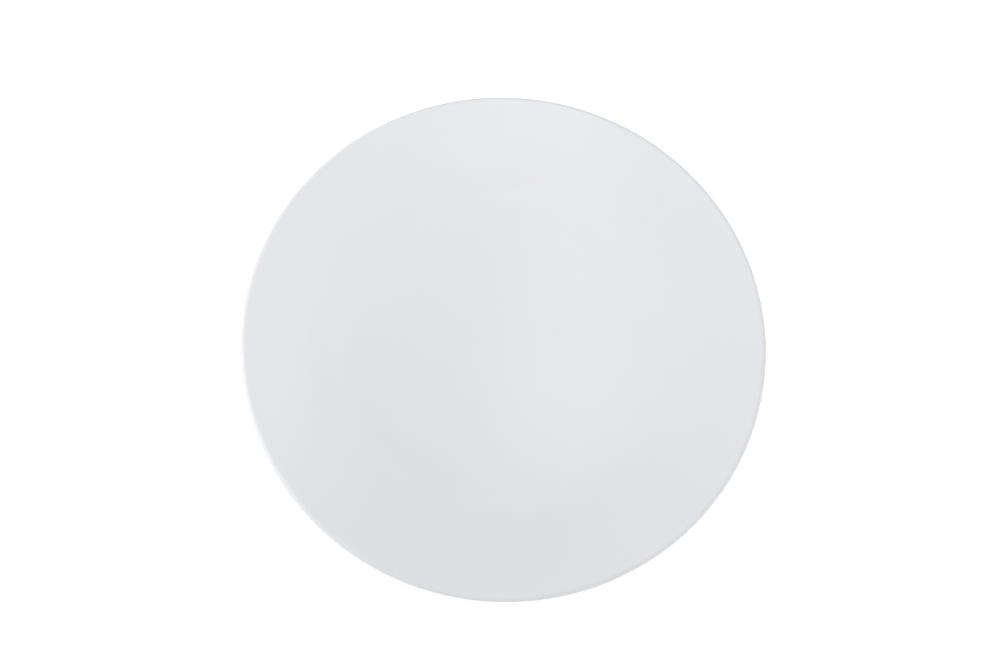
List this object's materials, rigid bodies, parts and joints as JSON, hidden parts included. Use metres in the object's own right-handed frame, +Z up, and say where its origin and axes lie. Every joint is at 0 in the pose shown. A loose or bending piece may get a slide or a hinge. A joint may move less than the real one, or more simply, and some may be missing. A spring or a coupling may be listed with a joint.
{
  "type": "flat plate",
  "caption": "Round white porcelain dinner plate with a flat well, a straight flared rim with a full-round lip, and a bare standing ring, for serving and eating food.",
  "frame": {"origin": "on the table, at the centre of the standing ring", "axes": "+Z up, along the plate's axis of revolution; X and Y lie in the table's plane, and the plate looks the same at every turn about Z"},
  "size_m": [0.27, 0.27, 0.0205],
  "materials": {
    "bare_porcelain": "matt fired clay, fine-grained, bare on the standing ring",
    "white_glaze": "smooth clear gloss glaze over cool white porcelain"
  },
  "bodies": {
    "root": {"porcelain_body": "bare_porcelain", "glaze_coat": "white_glaze", "base_glaze": "white_glaze"}
  },
  "joints": []
}
